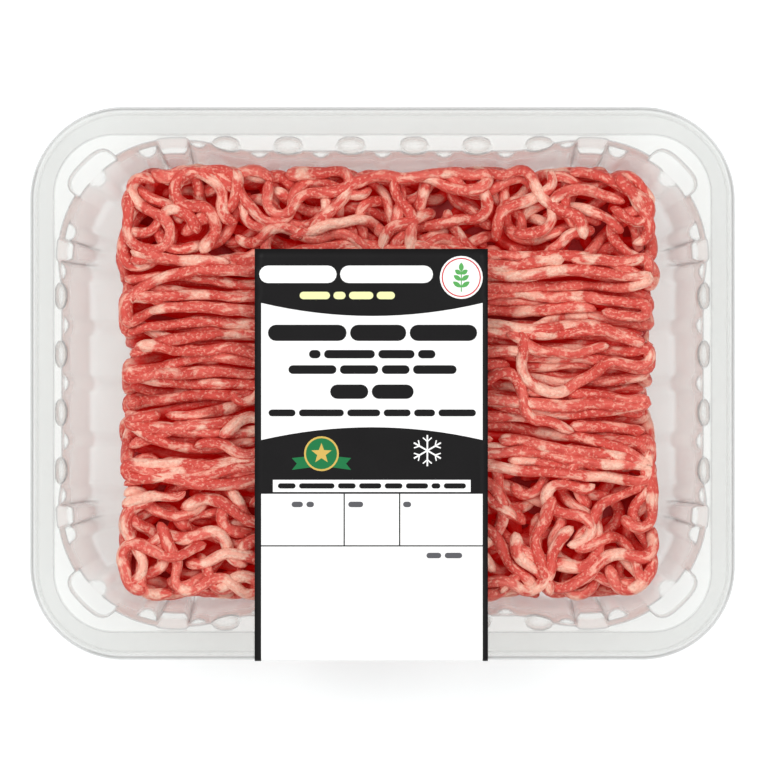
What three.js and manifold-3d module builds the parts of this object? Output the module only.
// A sealed tray pack of minced meat: a clear thermoformed tray, the block of mince
// lying in it, the clear lidding film and the label stuck on the film.
// Millimetres, +Z up. The pack stands on z = 0, its long side along X, its front at -Y.
import * as THREE from 'three';
import { mergeVertices } from 'three/addons/utils/BufferGeometryUtils.js';
import Module from 'manifold-3d';

// Tray, outside
const trayLength = 227;
const trayWidth = 178;
const trayHeight = 40;
const rimRadius = 30;
const skin = 0.7; // thickness of the plastic
const lipDrop = 3.6; // how far the outer edge is turned down
const lipFlare = 0.6;
const bendWidth = 1.6; // rounding between the flange and the lip
const rimArcSteps = 7;

// The step inside the sealing flange, and the ledge it goes down to
const stepHalfX = 105.6;
const stepHalfY = 79.6;
const stepRadius = 28;
const stepDrop = 1.2;
const stepRun = 0.8;

// Cavity: a rounded rectangle at the ledge, whose straight walls curve in between the columns
const cavityHalfX = 104.2;
const cavityHalfY = 78.4;
const cavityRadius = 38;
const longWall = { ends: 0.5, middle: 3.8, blend: 20 };
const shortWall = { ends: 0.3, middle: 1.3, blend: 10 };
const draft = 0.15; // how far the wall leans in for each millimetre down
const footHeight = 6; // where the wall turns into the base
const footRun = 4.5;

// Pockets along the top of the wall
const pocketDrop = 5;
const longLenses = { at: [10.1, 30.3, 50.5], half: 4.5, crown: 2, out: 4.4 };
const shortLenses = { at: [9.4, 28.1], half: 4.2, crown: 1.8, out: 2.4 };
const bean = { start: 32, shoulder: 5, out: 5.2 }; // degrees along the corner, then mm

// Columns that a stacked tray stands on
const longColumn = { at: 67.6, half: 5.7, flat: 4.1 };
const shortColumn = { at: 42.9, half: 4.1, flat: 2.8 };
const columnOut = 1;
const columnIn = 1.8;

// Ribs down the wall, which run on over the base
const ribHalf = 2.2;
const ribIn = 2;
const ribTop = 9; // how far down they start
const ribLift = 1.2;
const ribReach = 13;
const longRibs = [0, 19.9, 39.6, 59.4];
const shortRibs = [0, 18.7, 36.3];
const cornerRibs = [13.4, 45, 74.6]; // degrees from the short wall's end

// Mince
const strandRadius = 2.35;
const strandSides = 5;
const minceCentreX = 1.6;
const minceHalfX = 86.5;
const minceHalfY = 69;
const minceFloor = 2.2; // just clear of the ribs on the base
const minceTop = 29;
const minceTaper = 7; // how much narrower the block is at the bottom
const minceWaist = 24; // and how high up it has its full width
const curlBend = 9; // how far under the top a curl bends in over the edge
const coreInset = 4; // under the curls the core ends this far inside them
const rowPitch = 4.75;
const rowDepth = 1.8; // of the grooves between rows
const rowSteps = 6;
const rowWave = 0.9;
const rowWaveLength = 9;
const rowsFrom = -30;
const rowsTo = 43.5;
const curlPitch = 11;
const curlMargin = 11; // from the block's ends
const curlSteps = 8;
const seed = 7;

// Film and label
const filmThickness = 0.3;
const filmInset = 1.8; // the film is cut this far inside the tray's edge
const filmGap = 0.1;
const labelWidth = 74.9;
const labelCentreX = -3.6;
const labelBack = 43.2;
const labelThickness = 0.2;
const labelGap = 0.1;
const labelBend = 1.5; // radius over the tray's front edge

const ledgeHeight = trayHeight - stepDrop;
const arcX = cavityHalfX - cavityRadius;
const arcY = cavityHalfY - cavityRadius;
const degree = Math.PI / 180;

const wasm = await Module();
wasm.setup();

// Seeded random numbers from 0 to 1
let state = seed;
function random() {
  state = (state * 1664525 + 1013904223) % 4294967296;
  return state / 4294967296;
}

// One closed skin of merged corners, without the triangles that have shrunk to nothing
function closedSkin(geometry) {
  const bare = geometry.clone();
  for (const name of ['normal', 'uv']) bare.deleteAttribute(name);
  const merged = mergeVertices(bare, 1e-4);
  const kept = [];
  const old = merged.index.array;
  for (let i = 0; i < old.length; i += 3) {
    const [a, b, c] = [old[i], old[i + 1], old[i + 2]];
    if (a !== b && b !== c && c !== a) kept.push(a, b, c);
  }
  merged.setIndex(kept);
  return merged;
}

// A closed geometry as a manifold solid
function toSolid(geometry) {
  const merged = closedSkin(geometry);
  return new wasm.Manifold(new wasm.Mesh({
    numProp: 3,
    vertProperties: new Float32Array(merged.attributes.position.array),
    triVerts: Uint32Array.from(merged.index.array),
  }));
}

// A manifold solid as a geometry
function toGeometry(solid) {
  const mesh = solid.getMesh();
  const geometry = new THREE.BufferGeometry();
  geometry.setAttribute('position', new THREE.BufferAttribute(mesh.vertProperties, 3));
  geometry.setIndex(new THREE.BufferAttribute(mesh.triVerts, 1));
  return geometry;
}

function flatShaded(geometry) {
  const flat = geometry.toNonIndexed();
  flat.computeVertexNormals();
  return flat;
}

// Corners and triangles of a skin that is built up piece by piece. A piece that is turned over
// faces the other way.
class Skin {
  position = [];
  index = [];

  add(points) {
    const first = this.position.length / 3;
    for (const p of points) this.position.push(p.x, p.y, p.z);
    return first;
  }

  triangle(a, b, c, turned) {
    if (turned) this.index.push(a, c, b);
    else this.index.push(a, b, c);
  }

  // Rings of equal length, each joined to the next
  loft(rings, turned = false) {
    const count = rings[0].length;
    const first = this.add(rings.flat());
    for (let r = 0; r < rings.length - 1; r++) {
      const low = first + r * count;
      const high = low + count;
      for (let i = 0; i < count; i++) {
        const j = (i + 1) % count;
        this.triangle(low + i, low + j, high + j, turned);
        this.triangle(low + i, high + j, high + i, turned);
      }
    }
  }

  // The flat face inside an outline, less a hole in it, facing up or turned to face down
  face(outline, hole = [], turned = false) {
    const first = this.add([...outline, ...hole]);
    const flat = [...outline, ...hole].map((p) => new THREE.Vector2(p.x, p.y));
    const holes = hole.length ? [flat.slice(outline.length)] : [];
    for (const [a, b, c] of THREE.ShapeUtils.triangulateShape(flat.slice(0, outline.length), holes)) {
      const area = THREE.ShapeUtils.area([flat[a], flat[b], flat[c]]);
      this.triangle(first + a, first + b, first + c, area < 0 !== turned);
    }
  }

  geometry() {
    const geometry = new THREE.BufferGeometry();
    geometry.setAttribute('position', new THREE.Float32BufferAttribute(this.position, 3));
    geometry.setIndex(this.index);
    return geometry;
  }
}

// How far a straight wall stands inside the rounded rectangle, between its two columns
function wallInset(wall, column, at) {
  const t = THREE.MathUtils.clamp((column.at - column.half - Math.abs(at)) / wall.blend, 0, 1);
  return wall.ends + (wall.middle - wall.ends) * t * t * (3 - 2 * t);
}

// What stands along a straight wall, as [place, pocket, rib, column] from one end to the other
function wallMarks(ribs, lenses, column) {
  const marks = [];
  const bothWays = (list) => list.flatMap((at) => (at ? [-at, at] : [0]));
  for (const at of bothWays(ribs)) {
    marks.push([at - ribHalf, 0, 0, 0], [at, 0, 1, 0], [at + ribHalf, 0, 0, 0]);
  }
  for (const at of bothWays(lenses.at)) {
    marks.push([at - lenses.half, 0, 0, 0], [at - lenses.crown, lenses.out, 0, 0]);
    marks.push([at + lenses.crown, lenses.out, 0, 0], [at + lenses.half, 0, 0, 0]);
  }
  for (const way of [-1, 1]) {
    marks.push([way * (column.at - column.half), 0, 0, 0]);
    marks.push([way * (column.at - column.flat), 0, 0, 1]);
  }
  return marks.sort((a, b) => a[0] - b[0]);
}

// What stands along a corner's arc, as [degrees, pocket, rib, column]
function cornerMarks() {
  const along = (distance) => distance / cavityRadius / degree;
  const rib = along(ribHalf);
  const [low, middle, high] = cornerRibs;
  return [
    [along(shortColumn.at + shortColumn.flat - arcY), 0, 0, 1],
    [along(shortColumn.at + shortColumn.half - arcY), 0, 0, 0],
    [low - rib, 0, 0, 0],
    [low, 0, 1, 0],
    [low + rib, 0, 0, 0],
    [bean.start, 0, 0, 0],
    [bean.start + bean.shoulder, bean.out, 0, 0],
    [middle - rib, bean.out, 0, 0],
    [middle, bean.out, 1, 0],
    [middle + rib, bean.out, 0, 0],
    [90 - bean.start - bean.shoulder, bean.out, 0, 0],
    [90 - bean.start, 0, 0, 0],
    [high - rib, 0, 0, 0],
    [high, 0, 1, 0],
    [high + rib, 0, 0, 0],
    [90 - along(longColumn.at + longColumn.half - arcX), 0, 0, 0],
    [90 - along(longColumn.at + longColumn.flat - arcX), 0, 0, 1],
  ];
}

// Stations round the cavity, anticlockwise: a point of the cavity's outline, the way out of it,
// and how much of a pocket, a rib and a column is there
function wallStations() {
  const stations = [];
  for (let quarter = 0; quarter < 4; quarter++) {
    const isShort = quarter % 2 === 0;
    const turn = quarter * 90;
    const [nx, ny] = [[1, 0], [0, 1], [-1, 0], [0, -1]][quarter];
    const half = isShort ? cavityHalfX : cavityHalfY;
    const [wall, column] = isShort ? [shortWall, shortColumn] : [longWall, longColumn];
    const marks = isShort
      ? wallMarks(shortRibs, shortLenses, shortColumn)
      : wallMarks(longRibs, longLenses, longColumn);
    for (const [at, pocket, rib, post] of marks) {
      const inset = post ? 0 : wallInset(wall, column, at);
      const place = half - inset;
      const lens = pocket ? pocket - wall.middle + inset : 0;
      stations.push({ x: nx * place - ny * at, y: ny * place + nx * at, nx, ny, pocket: lens, rib, post });
    }
    const centreX = (quarter === 0 || quarter === 3 ? 1 : -1) * arcX;
    const centreY = (quarter < 2 ? 1 : -1) * arcY;
    const arc = cornerMarks();
    if (!isShort) arc.reverse();
    for (const [angle, pocket, rib, post] of arc) {
      const a = (turn + (isShort ? angle : 90 - angle)) * degree;
      const [outX, outY] = [Math.cos(a), Math.sin(a)];
      const x = centreX + outX * cavityRadius;
      const y = centreY + outY * cavityRadius;
      stations.push({ x, y, nx: outX, ny: outY, pocket, rib, post });
    }
  }
  return stations;
}

// One ring of the wall: moved out by offset, with shares of its pockets, ribs and columns, and
// with the ribs lifted
function wallRing(stations, z, offset, share) {
  const { pocket = 0, rib = 0, post = 0, lift = 0 } = share;
  return stations.map((s) => {
    const out = offset + s.pocket * pocket - s.rib * ribIn * rib + s.post * post;
    return new THREE.Vector3(s.x + s.nx * out, s.y + s.ny * out, z + s.rib * lift);
  });
}

// The cavity's rings from the middle of the base up to the ledge, at a depth into the plastic
function cavityRings(stations, depth) {
  const lean = (z) => depth - (ledgeHeight - z) * draft;
  const shelf = ledgeHeight - pocketDrop;
  const neck = ledgeHeight - ribTop;
  const footEnd = lean(footHeight) - footRun - depth / 2;
  const down = { rib: 1, post: -columnIn };
  return [
    wallRing(stations, skin - depth, footEnd - ribReach, {}),
    wallRing(stations, skin - depth, footEnd, { ...down, lift: ribLift }),
    wallRing(stations, footHeight - depth, lean(footHeight), down),
    wallRing(stations, neck - depth, lean(neck), down),
    wallRing(stations, shelf - depth, lean(shelf), { rib: 0.2, post: -columnIn }),
    wallRing(stations, shelf - depth, lean(shelf), { pocket: 1, post: columnOut }),
    wallRing(stations, ledgeHeight - depth, depth, { pocket: 1, post: columnOut }),
  ];
}

// Points of a rounded rectangle, anticlockwise
function roundedRectangle(halfX, halfY, radius, z) {
  const points = [];
  for (let quarter = 0; quarter < 4; quarter++) {
    const signX = quarter === 0 || quarter === 3 ? 1 : -1;
    const signY = quarter < 2 ? 1 : -1;
    for (let i = 0; i <= rimArcSteps; i++) {
      const a = (quarter + i / rimArcSteps) * 90 * degree;
      const x = signX * (halfX - radius) + Math.cos(a) * radius;
      const y = signY * (halfY - radius) + Math.sin(a) * radius;
      points.push(new THREE.Vector3(x, y, z));
    }
  }
  return points;
}

// The rings of the step, the flange and its turned-down lip, at a depth into the plastic
function flangeRings(depth) {
  const step = (out, z) => roundedRectangle(stepHalfX + out, stepHalfY + out, stepRadius + out, z);
  const edge = (inset, z) => roundedRectangle(
    trayLength / 2 - inset, trayWidth / 2 - inset, rimRadius - inset, z);
  return [
    step(depth, ledgeHeight - depth),
    step(stepRun + depth, trayHeight - depth),
    edge(bendWidth + lipFlare, trayHeight - depth),
    edge(lipFlare + depth, trayHeight - (bendWidth + depth) / 2),
    edge(depth, trayHeight - lipDrop),
  ];
}

// The tray is one sheet of plastic: a top skin and an under skin that meet at the lip's edge
function trayGeometry() {
  const stations = wallStations();
  const skinOf = new Skin();
  for (const depth of [0, skin]) {
    const isTop = depth === 0;
    const cavity = cavityRings(stations, depth);
    const flange = flangeRings(depth);
    skinOf.face(cavity[0], [], !isTop);
    skinOf.loft(cavity, isTop);
    skinOf.face(flange[0], cavity.at(-1), !isTop);
    skinOf.loft(flange, isTop);
  }
  skinOf.loft([flangeRings(skin).at(-1), flangeRings(0).at(-1)]);
  return flatShaded(closedSkin(skinOf.geometry()));
}

// How far the block's sides stand in at a height, as it is narrower at the bottom
function sideInset(z) {
  return minceTaper * (1 - Math.min((z - minceFloor) / minceWaist, 1));
}

// One section of the core, from bottom left round to the right, up and back over the top. The
// section stands in the XY plane here, and the core runs along Z until it is turned over.
function coreSection(y, inset, uneven, rounding = 0) {
  const top = minceTop - inset - rounding * 0.6;
  const sideX = minceHalfX - inset - rounding - uneven * random();
  const bottomX = sideX - sideInset(minceFloor);
  const section = [[-bottomX, minceFloor], [bottomX, minceFloor]];
  section.push([sideX - sideInset(minceFloor + 9), minceFloor + 9]);
  section.push([sideX, top - 7], [sideX - 1.2, top - 2.6], [sideX - 4, top - 0.4]);
  for (let i = 1; i < rowSteps; i++) {
    section.push([(1 - 2 * i / rowSteps) * (sideX - 4), top - uneven * random() * 0.7]);
  }
  section.push([4 - sideX, top - 0.4], [1.2 - sideX, top - 2.6], [-sideX, top - 7]);
  section.push([sideInset(minceFloor + 9) - sideX, minceFloor + 9]);
  return section.map(([x, z]) => {
    const taper = 1 - sideInset(z) / minceHalfY;
    return new THREE.Vector3(x, z, rowWave * Math.sin(x / rowWaveLength) - y * taper);
  });
}

// The core, with the rows of strands across its middle standing out in relief, and plain and
// rounded off where curls lie on it
function minceCore() {
  const endY = minceHalfY - coreInset;
  const sections = [];
  for (let y = rowsTo; y > rowsFrom; y -= rowPitch) {
    sections.push(coreSection(y, rowDepth, 0));
    sections.push(coreSection(y - rowPitch * 0.22, rowDepth * 0.3, 1.2));
    sections.push(coreSection(y - rowPitch * 0.78, rowDepth * 0.3, 1.2));
  }
  sections.unshift(coreSection(endY, coreInset, 0, 9), coreSection(endY - 4, coreInset, 0, 1));
  sections.push(coreSection(4 - endY, coreInset, 0, 1), coreSection(-endY, coreInset, 0, 9));
  const skinOf = new Skin();
  skinOf.face(sections[0], [], true);
  skinOf.loft(sections);
  skinOf.face(sections.at(-1));
  return toSolid(skinOf.geometry().rotateX(90 * degree));
}

// One strand of mince along a path
function strand(points, steps) {
  const corners = [];
  for (let i = 0; i < strandSides; i++) {
    const a = (i / strandSides) * 360 * degree;
    corners.push(new THREE.Vector2(Math.cos(a) * strandRadius, Math.sin(a) * strandRadius));
  }
  return toSolid(new THREE.ExtrudeGeometry(new THREE.Shape(corners), {
    steps,
    extrudePath: new THREE.CatmullRomCurve3(points),
    bevelEnabled: false,
  }));
}

// A curl hangs down a long side, bends over the edge and winds its way in over the top
function curlStrand(x, way, reach) {
  const sideY = minceHalfY - strandRadius;
  const low = minceFloor + strandRadius + random() * 5;
  const bend = minceTop - curlBend;
  const points = [
    new THREE.Vector3(x + random() * 3, way * (sideY - sideInset(low)), low),
    new THREE.Vector3(x + random() * 4 - 2, way * (sideY - sideInset(bend)), bend),
  ];
  const swing = (random() < 0.5 ? -1 : 1) * (3.5 + random() * 3);
  const turns = 4;
  for (let i = 0; i <= turns; i++) {
    const t = i / turns;
    const y = sideY - 3 - (reach - 3) * t;
    const z = minceTop - strandRadius - random() * 1.3 - (i ? 0 : 1);
    points.push(new THREE.Vector3(x + swing * Math.sin(t * 300 * degree), way * y, z));
  }
  return strand(points, curlSteps);
}

// The block of mince: the core with its rows and the curls along both long sides, in one solid
function minceGeometry() {
  let solid = minceCore();
  const half = minceHalfX - curlMargin;
  const count = Math.round(2 * half / curlPitch);
  for (const [way, end] of [[1, rowsTo], [-1, -rowsFrom]]) {
    for (let i = 0; i <= count; i++) {
      const x = (i / count * 2 - 1) * half;
      solid = solid.add(curlStrand(x, way, minceHalfY - end - strandRadius));
    }
  }
  return toGeometry(solid);
}

// The lidding film lies flat on the sealing flange
function filmGeometry() {
  const outline = roundedRectangle(
    trayLength / 2 - filmInset, trayWidth / 2 - filmInset, rimRadius - filmInset, 0);
  const shape = new THREE.Shape(outline.map((p) => new THREE.Vector2(p.x, p.y)));
  return new THREE.ExtrudeGeometry(shape, { depth: filmThickness, bevelEnabled: false });
}

// The label runs over the film to the front edge and is turned down over the lip
function labelGeometry() {
  const top = trayHeight + filmGap + filmThickness + labelGap;
  const front = -trayWidth / 2 - labelGap;
  const under = [];
  const over = [];
  const turns = 4;
  for (let i = 0; i <= turns; i++) {
    const a = (90 + 90 * i / turns) * degree;
    const centre = [front + labelBend, top - labelBend];
    under.push([centre[0] + Math.cos(a) * labelBend, centre[1] + Math.sin(a) * labelBend]);
    const outer = labelBend + labelThickness;
    over.push([centre[0] + Math.cos(a) * outer, centre[1] + Math.sin(a) * outer]);
  }
  const end = trayHeight - lipDrop;
  const profile = [
    [labelBack, top],
    ...under,
    [front, end],
    [front - labelThickness, end],
    ...over.reverse(),
    [labelBack, top + labelThickness],
  ];
  const shape = new THREE.Shape(profile.map(([y, z]) => new THREE.Vector2(y, z)));
  const sheet = new THREE.ExtrudeGeometry(shape, { depth: labelWidth, bevelEnabled: false });
  sheet.rotateX(90 * degree).rotateZ(90 * degree);
  sheet.translate(labelCentreX - labelWidth / 2, 0, 0);
  return sheet;
}

function piece(name, geometry, material) {
  const mesh = new THREE.Mesh(geometry, new THREE.MeshStandardMaterial(material));
  mesh.name = name;
  return mesh;
}

const pack = new THREE.Group();

const tray = piece('tray', trayGeometry(), { color: 0xe6e6e3, roughness: 0.25 });
const mince = piece('mince', flatShaded(minceGeometry()), { color: 0xc9584e, roughness: 0.45 });
mince.position.x = minceCentreX;
const film = piece('film', filmGeometry(), { color: 0xf2f4f4, roughness: 0.1 });
film.position.z = trayHeight + filmGap;
const label = piece('label', labelGeometry(), { color: 0x1d1d1d, roughness: 0.4 });
pack.add(tray, mince, film, label);
pack.position.y = (labelGap + labelThickness) / 2; // the label's turned-down end is part of the width

export default pack;
